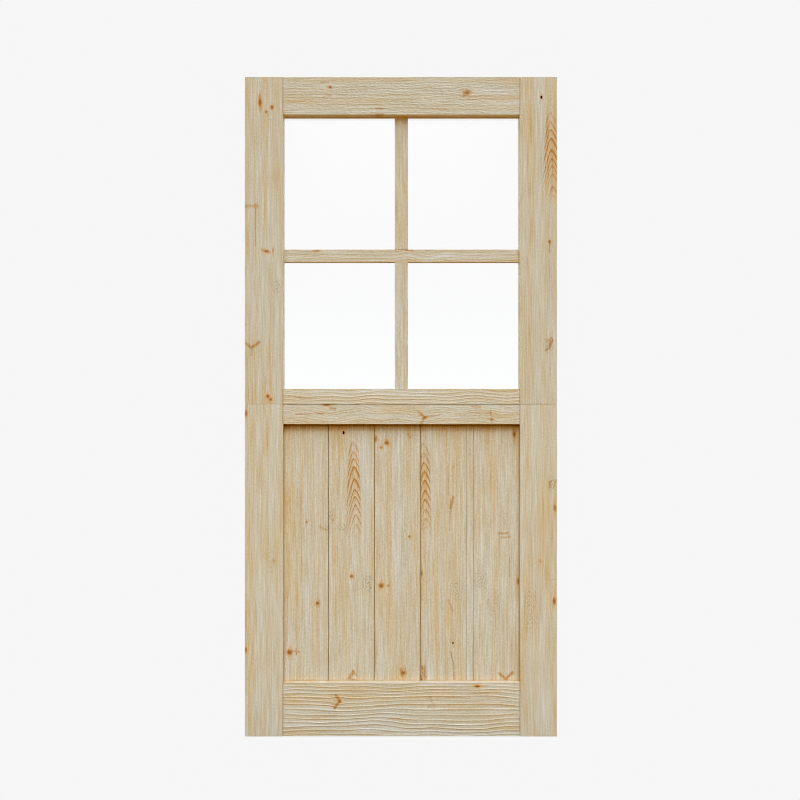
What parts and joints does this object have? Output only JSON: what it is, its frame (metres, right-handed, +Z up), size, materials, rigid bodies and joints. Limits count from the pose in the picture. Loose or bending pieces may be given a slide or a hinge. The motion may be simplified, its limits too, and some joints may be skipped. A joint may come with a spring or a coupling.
{
  "type": "dutch stable door",
  "caption": "Pine stable door split at mid height: a glazed upper leaf with crossed glazing bars over a boarded lower leaf, each hung on butt hinges to open alone.",
  "frame": {"origin": "at the foot of the door, in the middle of the whole object's width and depth, hinges included", "axes": "+X to the viewer's right across the door, away from the hinges; +Y from the recessed face in the picture towards the flush back face, where the hinge knuckles are and to which both leaves open; +Z up"},
  "size_m": [0.9685, 0.0564, 2.032],
  "materials": {
    "pine_frame": "bare sawn and planed softwood, lightly raised grain",
    "pine_boards": "bare planed softwood boards",
    "pine_beads": "bare planed softwood",
    "glass": "clear, polished",
    "zinc_hinge": "zinc plated, satin",
    "zinc_screw": "zinc plated, satin",
    "steel_nail": "bright steel"
  },
  "bodies": {
    "jamb_hinge_plates": {"lower_leaf_bottom_hinge_jamb_plate": "zinc_hinge", "lower_leaf_bottom_hinge_pin": "zinc_hinge", "lower_leaf_top_hinge_jamb_plate": "zinc_hinge", "lower_leaf_top_hinge_pin": "zinc_hinge", "upper_leaf_bottom_hinge_jamb_plate": "zinc_hinge", "upper_leaf_bottom_hinge_pin": "zinc_hinge", "upper_leaf_top_hinge_jamb_plate": "zinc_hinge", "upper_leaf_top_hinge_pin": "zinc_hinge"},
    "lower_leaf": {"board_1": "pine_boards", "board_2": "pine_boards", "board_3": "pine_boards", "board_4": "pine_boards", "board_5": "pine_boards", "board_filler_strip": "pine_boards", "board_nails": "steel_nail", "lower_leaf_bottom_hinge_leaf_plate": "zinc_hinge", "lower_leaf_bottom_rail": "pine_frame", "lower_leaf_hinge_screws": "zinc_screw", "lower_leaf_left_stile": "pine_frame", "lower_leaf_meeting_rail": "pine_frame", "lower_leaf_right_stile": "pine_frame", "lower_leaf_top_hinge_leaf_plate": "zinc_hinge"},
    "upper_leaf": {"bead_lower_left_bottom": "pine_beads", "bead_lower_left_left": "pine_beads", "bead_lower_left_right": "pine_beads", "bead_lower_left_top": "pine_beads", "bead_lower_right_bottom": "pine_beads", "bead_lower_right_left": "pine_beads", "bead_lower_right_right": "pine_beads", "bead_lower_right_top": "pine_beads", "bead_upper_left_bottom": "pine_beads", "bead_upper_left_left": "pine_beads", "bead_upper_left_right": "pine_beads", "bead_upper_left_top": "pine_beads", "bead_upper_right_bottom": "pine_beads", "bead_upper_right_left": "pine_beads", "bead_upper_right_right": "pine_beads", "bead_upper_right_top": "pine_beads", "glass_pane_lower_left": "glass", "glass_pane_lower_right": "glass", "glass_pane_upper_left": "glass", "glass_pane_upper_right": "glass", "glazing_bar_level": "pine_frame", "glazing_bar_upright": "pine_frame", "glazing_bead_pins": "steel_nail", "upper_leaf_bottom_hinge_leaf_plate": "zinc_hinge", "upper_leaf_hinge_screws": "zinc_screw", "upper_leaf_left_stile": "pine_frame", "upper_leaf_meeting_rail": "pine_frame", "upper_leaf_right_stile": "pine_frame", "upper_leaf_top_hinge_leaf_plate": "zinc_hinge", "upper_leaf_top_rail": "pine_frame"}
  },
  "joints": [
    {"name": "lower_swing", "type": "hinge", "parent": "jamb_hinge_plates", "child": "lower_leaf", "pos_m": [-0.47825, 0.02225, 0.52], "axis": [0, 0, 1], "range_deg": [0, 90]},
    {"name": "upper_swing", "type": "hinge", "parent": "lower_leaf", "child": "upper_leaf", "pos_m": [-0.47825, 0.02225, 1.528], "axis": [0, 0, 1], "range_deg": [0, 90]}
  ]
}
